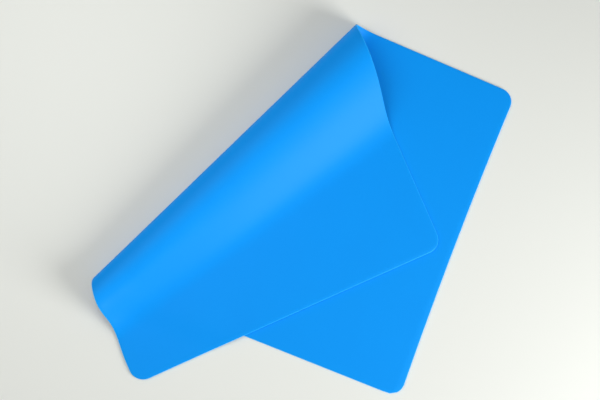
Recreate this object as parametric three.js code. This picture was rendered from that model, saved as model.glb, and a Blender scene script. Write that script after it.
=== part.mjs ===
// A heat resistant work mat: one flat sheet of soft silicone rubber with rounded corners,
// lying on a bench with its left part folded over onto the rest.
//
// The sheet is drawn flat first. Its right end lies on the bench, its middle rises and turns
// over in a loop that is tight at one end and wide at the other, and its left end lies face
// down on top of the right end. The loop is part of a cone, so the sheet bends without
// stretching: every straight line through the cone's apex stays straight.
//
// Millimetres, +Z up, +X along the fold towards the loop's wide end, +Y outwards past the
// fold. The origin is on the bench, under the middle of the part's box.
import * as THREE from "three";

// The flat sheet.
const matLength = 400;
const matWidth = 298;
const matThickness = 1.5;
const cornerRadius = 12.5;
const sideBow = 2; // how far each short side draws in at its middle

// The fold, measured along each long side from the short side that stays on the bench.
const liftOffNear = 275; // where the near long side leaves the bench
const loopNear = 87; // how much of the near long side is in the loop, at its tight end
const liftOffFar = 136; // where the far long side leaves the bench
const loopFar = 161; // how much of the far long side is in the loop, at its wide end
const layerGap = 0.3; // air between the two layers where they lie on each other
// The bend's share along the loop is also weighed by 1 + loopLead * share + loopTail * share².
const loopLead = -3; // below 0, the sheet bends mostly soon after it leaves the bench
const loopTail = 2.9; // above 0, it curves back to the level late, so its slope is long

// How finely curves are cut into flats.
const loopSteps = 60;
const cornerSteps = 8;
const sideSteps = 10;

// The flat sheet's corner between the short side on the bench and the far long side is at
// x = 0, y = matWidth / 2, and the sheet runs towards -x.
const nearSide = -matWidth / 2;
const farSide = matWidth / 2;

// The cone's apex is where the lift-off line meets the landing line.
function crossing(a, b, c, d) {
  const first = b.clone().sub(a);
  const second = d.clone().sub(c);
  const share = c.clone().sub(a).cross(second) / first.cross(second);
  return a.clone().addScaledVector(first, share);
}

const liftNear = new THREE.Vector2(-liftOffNear, nearSide);
const liftFar = new THREE.Vector2(-liftOffFar, farSide);
const landNear = new THREE.Vector2(-liftOffNear - loopNear, nearSide);
const landFar = new THREE.Vector2(-liftOffFar - loopFar, farSide);
const apex = crossing(liftNear, liftFar, landNear, landFar);
const liftAngle = liftFar.clone().sub(apex).angle();
const loopAngle = landFar.clone().sub(apex).angle() - liftAngle;

// The flat outline, anticlockwise: straight long sides, round corners, and short sides that
// draw in along an arc.
function bowedSide(from, to) {
  const points = [];
  const chord = to.clone().sub(from);
  const inward = new THREE.Vector2(-chord.y, chord.x).normalize();
  for (let i = 1; i < sideSteps; i += 1) {
    const share = i / sideSteps;
    const depth = sideBow * 4 * share * (1 - share);
    points.push(from.clone().addScaledVector(chord, share).addScaledVector(inward, depth));
  }
  return points;
}

function roundCorner(centre, startAngle) {
  const points = [];
  for (let i = 0; i <= cornerSteps; i += 1) {
    const angle = startAngle + (Math.PI / 2) * (i / cornerSteps);
    const arm = new THREE.Vector2(Math.cos(angle), Math.sin(angle));
    points.push(centre.clone().addScaledVector(arm, cornerRadius));
  }
  return points;
}

function flatOutline() {
  const right = -cornerRadius;
  const left = -matLength + cornerRadius;
  const low = nearSide + cornerRadius;
  const high = farSide - cornerRadius;
  return [
    ...bowedSide(new THREE.Vector2(0, low), new THREE.Vector2(0, high)),
    ...roundCorner(new THREE.Vector2(right, high), 0),
    ...roundCorner(new THREE.Vector2(left, high), Math.PI / 2),
    ...bowedSide(new THREE.Vector2(-matLength, high), new THREE.Vector2(-matLength, low)),
    ...roundCorner(new THREE.Vector2(left, low), Math.PI),
    ...roundCorner(new THREE.Vector2(right, low), Math.PI * 1.5),
  ];
}

// The angle at the apex, counted from the lift-off line, of a point on the flat sheet.
function turnOf(point) {
  return point.clone().sub(apex).angle() - liftAngle;
}

// The lines through the apex along which the sheet is cut into flats.
const rulings = Array.from({ length: loopSteps + 1 }, (_, i) => (loopAngle * i) / loopSteps);

// The outline with a point wherever a ruling crosses it.
function cutOutline(outline) {
  const points = [];
  outline.forEach((start, i) => {
    const end = outline[(i + 1) % outline.length];
    points.push({ flat: start, turn: turnOf(start) });
    const crossed = rulings
      .filter((turn) => (turn - turnOf(start)) * (turn - turnOf(end)) < 0)
      .map((turn) => {
        const away = new THREE.Vector2(1, 0).rotateAround(new THREE.Vector2(), liftAngle + turn);
        return { flat: crossing(start, end, apex, apex.clone().add(away)), turn };
      });
    crossed.sort((a, b) => start.distanceTo(a.flat) - start.distanceTo(b.flat));
    points.push(...crossed);
  });
  return points;
}

// How sharply the loop bends, share 0 at lift-off and 1 at landing. It starts and ends
// straight, bends up and over, and turns back a little after bendEnd to land flat.
function bendAt(share, strength, bendEnd) {
  const weight = 1 + loopLead * share + loopTail * share ** 2;
  return strength * share * (1 - share) * (bendEnd - share) * weight;
}

// The directions of the loop's rulings seen from the apex: along the ruling, onwards across
// the sheet, and out of the sheet's upper face.
function loopFrames(strength, bendEnd) {
  const along = new THREE.Vector3(1, 0, 0);
  const onward = new THREE.Vector3(0, 1, 0);
  const out = new THREE.Vector3(0, 0, 1);
  const frames = [{ along: along.clone(), out: out.clone() }];
  for (let i = 0; i < loopSteps; i += 1) {
    const bend = bendAt((i + 0.5) / loopSteps, strength, bendEnd) / loopAngle;
    const spin = out.clone().addScaledVector(along, bend);
    const angle = (spin.length() * loopAngle) / loopSteps;
    spin.normalize();
    [along, onward, out].forEach((direction) => direction.applyAxisAngle(spin, angle));
    frames.push({ along: along.clone(), out: out.clone(), onward: onward.clone() });
  }
  return frames;
}

// The bend's strength and end are found so that the loop lands level on the bench plane.
function solveLoop() {
  const missBy = (strength, bendEnd) => {
    const last = loopFrames(strength, bendEnd).at(-1);
    return [last.along.z, last.onward.z];
  };
  const strengthStep = 0.01;
  const endStep = 1e-5;
  let strength = 260;
  let bendEnd = 0.68;
  for (let round = 0; round < 40; round += 1) {
    const [height, slope] = missBy(strength, bendEnd);
    if (Math.hypot(height, slope) < 1e-9) break;
    const [heightS, slopeS] = missBy(strength + strengthStep, bendEnd);
    const [heightE, slopeE] = missBy(strength, bendEnd + endStep);
    const rates = new THREE.Matrix3(
      (heightS - height) / strengthStep, (heightE - height) / endStep, 0,
      (slopeS - slope) / strengthStep, (slopeE - slope) / endStep, 0,
      0, 0, 1,
    );
    const step = new THREE.Vector3(height, slope, 0).applyMatrix3(rates.invert());
    strength -= step.x;
    bendEnd -= step.y;
  }
  return loopFrames(strength, bendEnd);
}

const frames = solveLoop();
const landingTurn = Math.atan2(frames.at(-1).along.y, frames.at(-1).along.x);

// The folded place and upward face direction of a point of the flat sheet, at mid thickness.
function folded(point, turn) {
  const reach = point.distanceTo(apex);
  const share = THREE.MathUtils.clamp(turn / loopAngle, 0, 1);
  let along;
  let out;
  if (turn <= 0) {
    along = new THREE.Vector3(Math.cos(turn), Math.sin(turn), 0);
    out = new THREE.Vector3(0, 0, 1);
  } else if (turn >= loopAngle) {
    const back = landingTurn - (turn - loopAngle);
    along = new THREE.Vector3(Math.cos(back), Math.sin(back), 0);
    out = new THREE.Vector3(0, 0, -1);
  } else {
    ({ along, out } = frames[Math.round(share * loopSteps)]);
  }
  const lift = matThickness / 2 + (matThickness + layerGap) * THREE.MathUtils.smoothstep(share, 0, 1);
  const place = along.clone().multiplyScalar(reach).add(new THREE.Vector3(0, 0, lift));
  return { place, out };
}

// The closed solid: both faces strip by strip between the rulings, and the wall round the edge.
function foldedSheet() {
  const rim = cutOutline(flatOutline());
  const positions = [];
  rim.forEach(({ flat, turn }) => {
    const { place, out } = folded(flat, turn);
    positions.push(...place.clone().addScaledVector(out, matThickness / 2).toArray());
    positions.push(...place.clone().addScaledVector(out, -matThickness / 2).toArray());
  });
  const faces = [];
  const bounds = [-Infinity, ...rulings, Infinity];
  for (let i = 0; i < bounds.length - 1; i += 1) {
    const slack = loopAngle * 1e-6;
    const strip = rim
      .map((point, index) => ({ ...point, index }))
      .filter(({ turn }) => turn > bounds[i] - slack && turn < bounds[i + 1] + slack);
    const triangles = THREE.ShapeUtils.triangulateShape(strip.map(({ flat }) => flat), []);
    triangles.forEach((corners) => {
      const [a, b, c] = corners.map((corner) => strip[corner].index * 2);
      faces.push(a, b, c, a + 1, c + 1, b + 1);
    });
  }
  rim.forEach((_, index) => {
    const here = index * 2;
    const next = ((index + 1) % rim.length) * 2;
    faces.push(here, here + 1, next + 1, here, next + 1, next);
  });
  const geometry = new THREE.BufferGeometry();
  geometry.setAttribute("position", new THREE.Float32BufferAttribute(positions, 3));
  geometry.setIndex(faces);
  geometry.computeVertexNormals();
  return geometry;
}

const silicone = new THREE.MeshStandardMaterial({ color: 0x1896f8, roughness: 0.6, metalness: 0 });
const mat = new THREE.Mesh(foldedSheet(), silicone);
mat.name = "silicone_mat";

// The lift-off line already lies along +X. The part is moved so that its box stands on the
// origin.
mat.geometry.computeBoundingBox();
const middle = mat.geometry.boundingBox.getCenter(new THREE.Vector3());
mat.position.set(-middle.x, -middle.y, -mat.geometry.boundingBox.min.z);

const workMat = new THREE.Group();
workMat.add(mat);

export default workMat;
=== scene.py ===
import bpy
import bmesh
from math import atan2, cos, exp, pi, radians, sin
from mathutils import Matrix, Vector


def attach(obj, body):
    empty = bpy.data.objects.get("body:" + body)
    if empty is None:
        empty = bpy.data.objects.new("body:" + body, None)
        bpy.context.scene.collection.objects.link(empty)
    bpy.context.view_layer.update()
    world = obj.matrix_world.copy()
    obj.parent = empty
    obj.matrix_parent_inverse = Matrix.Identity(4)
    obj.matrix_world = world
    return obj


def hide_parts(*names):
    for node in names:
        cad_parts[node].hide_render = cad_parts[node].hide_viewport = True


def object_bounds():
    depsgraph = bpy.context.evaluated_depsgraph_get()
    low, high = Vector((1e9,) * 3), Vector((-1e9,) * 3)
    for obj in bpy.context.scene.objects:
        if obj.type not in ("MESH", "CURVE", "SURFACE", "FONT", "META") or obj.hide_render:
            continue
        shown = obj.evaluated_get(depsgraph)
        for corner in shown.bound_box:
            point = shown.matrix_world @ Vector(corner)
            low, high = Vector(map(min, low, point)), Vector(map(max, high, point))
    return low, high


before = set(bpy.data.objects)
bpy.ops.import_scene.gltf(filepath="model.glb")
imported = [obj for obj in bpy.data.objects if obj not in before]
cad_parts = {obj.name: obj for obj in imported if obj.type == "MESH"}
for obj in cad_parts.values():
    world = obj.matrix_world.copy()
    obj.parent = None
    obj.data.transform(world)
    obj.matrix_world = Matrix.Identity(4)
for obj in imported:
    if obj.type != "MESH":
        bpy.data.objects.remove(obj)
cadLow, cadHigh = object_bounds()

# A soft blue silicone work mat, folded over onto itself on a bench.
# Sizes are in millimetres here and become metres in the meshes.
mm = 0.001

# The sheet as it was cut, and where it folds. The far side is the one at the loop's wide end.
sheet = {
    "length": 400,
    "width": 298,
    "thickness": 1.5,
    "cornerRadius": 12.5,
    "benchBow": 2,        # the short side on the bench draws in a little at its middle
    "flapBow": 0.2,       # and the flap's less
    "liftOffNear": 275,   # the near long side leaves the bench this far from its end
    "loopNear": 87,       # and this much of it is in the loop
    "liftOffFar": 136,
    "loopFar": 161,
    "layerGap": 0.3,
    "loopLead": -3,       # the sheet bends mostly soon after it leaves the bench,
    "loopTail": 2.9,      # and curves back to the level late, so its slope is long
    "droopReach": 26,     # past the lower layer's edge the flap comes down to the bench
    "edgeRounding": 0.6,
    "nearSway": 1.7,      # the near cut edge wavers a little where the loop pulls on it,
    "swayReach": 70,      # and less and less so up to this far from it
    "swayMiddle": 0.48,   # the wave's middle, its length and how soon it fades, as shares
    "swayLength": 0.8,    # of the loop
    "swayFading": 0.65,
    "swayMean": 0.15,
    "nearSettle": 0.35,   # the loop's slope settles sooner towards its tight end
    "farLinger": 0.12,    # and later towards its wide end
    "settleReach": 150,
    "settleStart": 0.5,   # the share of the loop where this starts,
    "settleLength": 0.35,  # and over how much of the loop it grows
    "edgeFlare": 5.0,     # bent rubber turns its free edge up where the loop is tight
    "flareReach": 38,
}
sheetMesh = {
    "columnsOnBench": 34,
    "columnsInLoop": 90,
    "columnsOnFlap": 22,
    "rows": 100,
    "loopSteps": 240,
    "edgeSegments": 3,
}
silicone = {
    "colour": "#0695F2",
    "deepColour": "#0692EF",
    # the rim colours are a painted highlight: paler rubber where light catches the rounded cut edge
    "rimPaintedHighlight": "#28B4FF",
    "rimPaintedHighlightDeep": "#24B1FD",
    "roughness": 0.5,
    "refraction": 1.41,
    "gloss": 0.14,
    "grain": 0.35,        # mm across one grain of the moulded matt skin
    "grainDepth": 0.02,
    "grainStrength": 0.3,
    "cloud": 45,          # mm across the faint patches where handling has dulled it
}
benchTop = {"colour": "#E4E6E0", "roughness": 0.6, "gloss": 0.2, "side": 6000, "drop": 0.2}
lights = {
    "key": {"azimuth": 14, "elevation": 24, "distance": 1.1, "size": 0.7, "power": 14.3},
    "side": {"azimuth": -140, "elevation": 50, "distance": 1.1, "size": 0.8, "power": 3.2},
    "over": {"azimuth": -150, "elevation": 70, "distance": 0.6, "size": 0.4, "power": 0.5},
    "back": {"azimuth": 178, "elevation": 42, "distance": 0.6, "size": 0.4, "power": 0.6},
}
studio = {"colour": "#FFFFFF", "strength": 0.2}
camera = {
    "target": (0.5, 52, 0),
    "distance": 749,
    "azimuth": -96.9,
    "elevation": 83.3,
    "turn": 54.1,
    "focalLength": 50,
}


def smoothStep(share):
    share = min(max(share, 0.0), 1.0)
    return share * share * (3 - 2 * share)


def linearColour(hexText):
    channels = [int(hexText[i:i + 2], 16) / 255 for i in (1, 3, 5)]
    linear = [c / 12.92 if c <= 0.04045 else ((c + 0.055) / 1.055) ** 2.4 for c in channels]
    return (*linear, 1.0)


def crossing(a, b, c, d):
    first, second, between = b - a, d - c, c - a
    share = between.cross(second) / first.cross(second)
    return a + first * share


# The loop is part of a cone, so the sheet bends without stretching. The flat sheet's corner
# at the far long side and the short side on the bench is at x = 0, and it runs towards -x.
nearSide, farSide = -sheet["width"] / 2, sheet["width"] / 2
liftNear = Vector((-sheet["liftOffNear"], nearSide))
liftFar = Vector((-sheet["liftOffFar"], farSide))
landNear = liftNear - Vector((sheet["loopNear"], 0))
landFar = liftFar - Vector((sheet["loopFar"], 0))
apex = crossing(liftNear, liftFar, landNear, landFar)
liftAngle = atan2(liftFar.y - apex.y, liftFar.x - apex.x)
loopAngle = atan2(landFar.y - apex.y, landFar.x - apex.x) - liftAngle


def loopFrames(strength, bendEnd, steps):
    # directions along the cone's straight line, onwards over the loop, and out of the face
    along, onward, out = Vector((1, 0, 0)), Vector((0, 1, 0)), Vector((0, 0, 1))
    frames = [(along, onward, out)]
    for i in range(steps):
        share = (i + 0.5) / steps
        weight = 1 + sheet["loopLead"] * share + sheet["loopTail"] * share ** 2
        bend = strength * share * (1 - share) * (bendEnd - share) * weight
        spin = out + along * (bend / loopAngle)
        turn = Matrix.Rotation(spin.length * loopAngle / steps, 3, spin)
        along, onward, out = turn @ along, turn @ onward, turn @ out
        frames.append((along, onward, out))
    return frames


def landingMiss(strength, bendEnd, steps):
    # how far the sheet's end is from lying level
    along, onward, out = loopFrames(strength, bendEnd, steps)[-1]
    return Vector((along.z, onward.z))


def solveLoop(steps, strength=260.0, bendEnd=0.68):
    # the bend is made just as strong as it must be for the sheet to land level
    strengthStep = 1.0
    endStep = 0.002
    closeEnough = 1e-5
    for attempt in range(40):
        miss = landingMiss(strength, bendEnd, steps)
        if miss.length < closeEnough:
            break
        byStrength = (landingMiss(strength + strengthStep, bendEnd, steps) - miss) / strengthStep
        byEnd = (landingMiss(strength, bendEnd + endStep, steps) - miss) / endStep
        rates = Matrix(((byStrength.x, byEnd.x), (byStrength.y, byEnd.y)))
        step = rates.inverted() @ miss
        strength -= step.x
        bendEnd -= step.y
    return loopFrames(strength, bendEnd, steps)


loop = solveLoop(sheetMesh["loopSteps"])
landingTurn = atan2(loop[-1][0].y, loop[-1][0].x)
toFold = Matrix.Rotation(-liftAngle, 2)  # turns the flat sheet so that it lifts off along +X
nearEdgeStart = toFold @ (liftNear - apex)
nearEdgeOut = toFold @ Vector((0, -1))
print("loop solved: lands", round(landingTurn * 180 / pi, 2), "degrees round the cone")


def foldPoint(flat):
    # where a point of the flat sheet lies at mid thickness, once the sheet is folded
    arm = flat - apex
    turn = atan2(arm.y, arm.x) - liftAngle
    share = min(max(turn / loopAngle, 0.0), 1.0)
    if turn <= 0:
        along = Vector((cos(turn), sin(turn), 0))
    elif turn >= loopAngle:
        back = landingTurn - (turn - loopAngle)
        along = Vector((cos(back), sin(back), 0))
    else:
        place = share * (len(loop) - 1)
        i = min(int(place), len(loop) - 2)
        along = loop[i][0].lerp(loop[i + 1][0], place - i).normalized()
    # the loop pulls the near cut edge in where it turns over and where it lands
    fromNear = flat.y - nearSide
    beyond = turn / loopAngle - sheet["swayMiddle"]
    wave = sheet["swayMean"] - cos(2 * pi * beyond / sheet["swayLength"])
    pull = wave * exp(-(beyond / sheet["swayFading"]) ** 2)
    nearness = smoothStep(1 - fromNear / sheet["swayReach"])
    folded = along * (arm.length + sheet["nearSway"] * pull * nearness)
    # its slope down to the flap is shorter at the tight end than at the wide end
    tight = smoothStep(1 - fromNear / sheet["settleReach"])
    settle = sheet["nearSettle"] * tight - sheet["farLinger"] * (1 - tight)
    settled = smoothStep((share - sheet["settleStart"]) / sheet["settleLength"])
    folded.z *= 1 - settle * settled
    # and the free edge of the tight end turns up
    free = max(1 - fromNear / sheet["flareReach"], 0) ** 2
    folded.z += sheet["edgeFlare"] * free * sin(pi * share) ** 2
    # past the near edge of the lower layer the flap has only the bench to lie on
    past = (folded.xy - nearEdgeStart).dot(nearEdgeOut)
    carried = 1 - smoothStep(past / sheet["droopReach"])
    layer = sheet["thickness"] + sheet["layerGap"]
    folded.z += sheet["thickness"] / 2 + layer * smoothStep(share) * carried
    return folded


def columnEnds(share):
    # where a column of the mesh starts and ends. In the loop it lies along the cone's
    # straight lines, and towards each short side it turns to lie along that side.
    steps = [sheetMesh[k] for k in ("columnsOnBench", "columnsInLoop", "columnsOnFlap")]
    column = share * sum(steps)
    if column <= steps[0]:
        part = column / steps[0]
        return -sheet["liftOffNear"] * part, -sheet["liftOffFar"] * part
    if column <= steps[0] + steps[1]:
        angle = liftAngle + loopAngle * (column - steps[0]) / steps[1]
        away = apex + Vector((cos(angle), sin(angle)))
        low = crossing(apex, away, liftNear, landNear)
        high = crossing(apex, away, liftFar, landFar)
        return low.x, high.x
    part = (column - steps[0] - steps[1]) / steps[2]
    return (landNear.x + (-sheet["length"] - landNear.x) * part,
            landFar.x + (-sheet["length"] - landFar.x) * part)


def roundOff(flat):
    # bends the grid's corners into quarter circles, then draws the short sides in
    radius = sheet["cornerRadius"]
    middle = Vector((-sheet["length"] / 2, 0))
    reach = Vector((sheet["length"] / 2 - radius, sheet["width"] / 2 - radius))
    side = flat - middle
    over = Vector((max(abs(side.x) - reach.x, 0) / radius, max(abs(side.y) - reach.y, 0) / radius))
    rounded = Vector((over.x * (1 - over.y ** 2 / 2) ** 0.5, over.y * (1 - over.x ** 2 / 2) ** 0.5))
    for axis in (0, 1):
        if over[axis] > 0:
            side[axis] = (reach[axis] + rounded[axis] * radius) * (1 if side[axis] > 0 else -1)
    straight = min(abs(side.y) / reach.y, 1)
    deepest = sheet["benchBow"] if side.x > 0 else sheet["flapBow"]
    bow = deepest * (1 - straight ** 2) * abs(side.x / middle.x) ** 3
    side.x -= bow if side.x > 0 else -bow
    return middle + side


def newPiece(name, bm):
    mesh = bpy.data.meshes.new(name)
    bm.to_mesh(mesh)
    bm.free()
    piece = bpy.data.objects.new(name, mesh)
    bpy.context.scene.collection.objects.link(piece)
    for face in mesh.polygons:
        face.use_smooth = True
    return piece


def makeSheet():
    bm = bmesh.new()
    columns = sum(sheetMesh[k] for k in ("columnsOnBench", "columnsInLoop", "columnsOnFlap"))
    bmesh.ops.create_grid(bm, x_segments=columns, y_segments=sheetMesh["rows"], size=0.5)
    for vert in bm.verts:
        low, high = columnEnds(vert.co.x + 0.5)  # the grid runs from -0.5 to 0.5
        up = vert.co.y + 0.5
        flat = Vector((low + (high - low) * up, nearSide + sheet["width"] * up))
        vert.co = foldPoint(roundOff(flat))
    bmesh.ops.scale(bm, verts=bm.verts, vec=(mm, mm, mm))
    # the model's box is centred along the fold, and its flat edge lies on the box's near side
    middle = (min(v.co.x for v in bm.verts) + max(v.co.x for v in bm.verts)) / 2
    nearest = min(v.co.y for v in bm.verts)
    bmesh.ops.translate(bm, verts=bm.verts, vec=(-middle, cadLow.y - nearest, 0))
    # columns run towards -x, so the faces are turned to look out of the upper side
    bmesh.ops.reverse_faces(bm, faces=bm.faces)
    piece = newPiece("folded_mat", bm)
    wall = piece.modifiers.new("thickness", "SOLIDIFY")
    wall.thickness = sheet["thickness"] * mm
    wall.offset = 0
    wall.use_even_offset = True
    # the side faces and the bevelled cut edge take the second material, whose paler colour is a
    # painted highlight
    wall.material_offset_rim = 1
    edge = piece.modifiers.new("cut edge", "BEVEL")
    edge.width = sheet["edgeRounding"] * mm
    edge.segments = sheetMesh["edgeSegments"]
    edge.limit_method = "ANGLE"
    edge.angle_limit = radians(50)  # sharper than the bend anywhere, so only the cut edge
    edge.material = 1
    return piece


def addNode(tree, kind, settings={}, inputs={}, links={}):
    node = tree.nodes.new(kind)
    for name, value in settings.items():
        setattr(node, name, value)
    for name, value in inputs.items():
        node.inputs[name].default_value = value
    for name, source in links.items():
        tree.links.new(source, node.inputs[name])
    return node


def newMaterial(name):
    material = bpy.data.materials.new(name)
    material.use_nodes = True
    material.node_tree.nodes.clear()
    return material


def mouldedSilicone(name, paleColour, deepColour):
    # Moulded silicone rubber: saturated, matt and a little soft at the edges, with a skin so
    # fine that it only spreads the highlights.
    material = newMaterial(name)
    tree = material.node_tree
    place = addNode(tree, "ShaderNodeTexCoord").outputs["Object"]
    patches = addNode(tree, "ShaderNodeTexNoise",
                      inputs={"Scale": 1 / (silicone["cloud"] * mm), "Detail": 3.0},
                      links={"Vector": place})
    colour = addNode(tree, "ShaderNodeMix", {"data_type": "RGBA"})
    colour.inputs[6].default_value = linearColour(paleColour)
    colour.inputs[7].default_value = linearColour(deepColour)
    tree.links.new(patches.outputs["Fac"], colour.inputs[0])
    grain = addNode(tree, "ShaderNodeTexNoise",
                    inputs={"Scale": 1 / (silicone["grain"] * mm), "Detail": 2.0},
                    links={"Vector": place})
    bump = addNode(tree, "ShaderNodeBump",
                   inputs={"Strength": silicone["grainStrength"],
                           "Distance": silicone["grainDepth"] * mm},
                   links={"Height": grain.outputs["Fac"]})
    shader = addNode(tree, "ShaderNodeBsdfPrincipled",
                     inputs={"Roughness": silicone["roughness"], "IOR": silicone["refraction"],
                             "Specular IOR Level": silicone["gloss"]},
                     links={"Base Color": colour.outputs[2], "Normal": bump.outputs["Normal"]})
    addNode(tree, "ShaderNodeOutputMaterial", links={"Surface": shader.outputs["BSDF"]})
    return material


def whiteBench():
    # A white laminate bench top, matt and plain.
    material = newMaterial("white laminate bench top")
    tree = material.node_tree
    shader = addNode(tree, "ShaderNodeBsdfPrincipled",
                     inputs={"Base Color": linearColour(benchTop["colour"]),
                             "Roughness": benchTop["roughness"],
                             "Specular IOR Level": benchTop["gloss"]})
    addNode(tree, "ShaderNodeOutputMaterial", links={"Surface": shader.outputs["BSDF"]})
    return material


def areaLight(name, azimuth, elevation, distance, size, power):
    # azimuth and elevation say where the light stands, seen from the mat
    a, e = radians(azimuth), radians(elevation)
    back = Vector((sin(a) * cos(e), -cos(a) * cos(e), sin(e)))
    data = bpy.data.lights.new(name, "AREA")
    data.shape = "DISK"
    data.size = size
    data.energy = power
    light = bpy.data.objects.new(name, data)
    light.location = back * distance
    light.rotation_mode = "QUATERNION"
    light.rotation_quaternion = back.to_track_quat("Z", "Y")
    bpy.context.scene.collection.objects.link(light)


def makeCamera():
    a, e = radians(camera["azimuth"]), radians(camera["elevation"])
    back = Vector((sin(a) * cos(e), -cos(a) * cos(e), sin(e)))
    data = bpy.data.cameras.new("camera")
    data.lens = camera["focalLength"]
    data.sensor_width = 36
    data.clip_start, data.clip_end = 0.01, 20
    eye = bpy.data.objects.new("camera", data)
    eye.location = (Vector(camera["target"]) + back * camera["distance"]) * mm
    eye.rotation_mode = "QUATERNION"
    roll = Matrix.Rotation(radians(camera["turn"]), 3, "Z").to_quaternion()
    eye.rotation_quaternion = (-back).to_track_quat("-Z", "Y") @ roll
    bpy.context.scene.collection.objects.link(eye)
    bpy.context.scene.camera = eye


makeCamera()
mat = makeSheet()
face = mouldedSilicone("moulded silicone rubber", silicone["colour"], silicone["deepColour"])
# light catches and passes through the thin rounded edge; a paler rubber is painted there as a
# highlight, so it looks paler than the faces
rim = mouldedSilicone("silicone rubber rim painted highlight", silicone["rimPaintedHighlight"], silicone["rimPaintedHighlightDeep"])
mat.data.materials.append(face)
mat.data.materials.append(rim)
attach(mat, "root")
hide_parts("silicone_mat")
print("mat made")

bm = bmesh.new()
bmesh.ops.create_grid(bm, x_segments=1, y_segments=1, size=benchTop["side"] / 2 * mm)
bmesh.ops.translate(bm, verts=bm.verts, vec=(0, 0, -benchTop["drop"] * mm))
bench = newPiece("bench_top", bm)
bench.data.materials.append(whiteBench())

for name, values in lights.items():
    areaLight(name, **values)
world = bpy.data.worlds.new("studio")
world.use_nodes = True
background = world.node_tree.nodes["Background"]
background.inputs["Color"].default_value = linearColour(studio["colour"])
background.inputs["Strength"].default_value = studio["strength"]
bpy.context.scene.world = world
bpy.context.scene.view_settings.view_transform = "Standard"
print("stage and lights made")
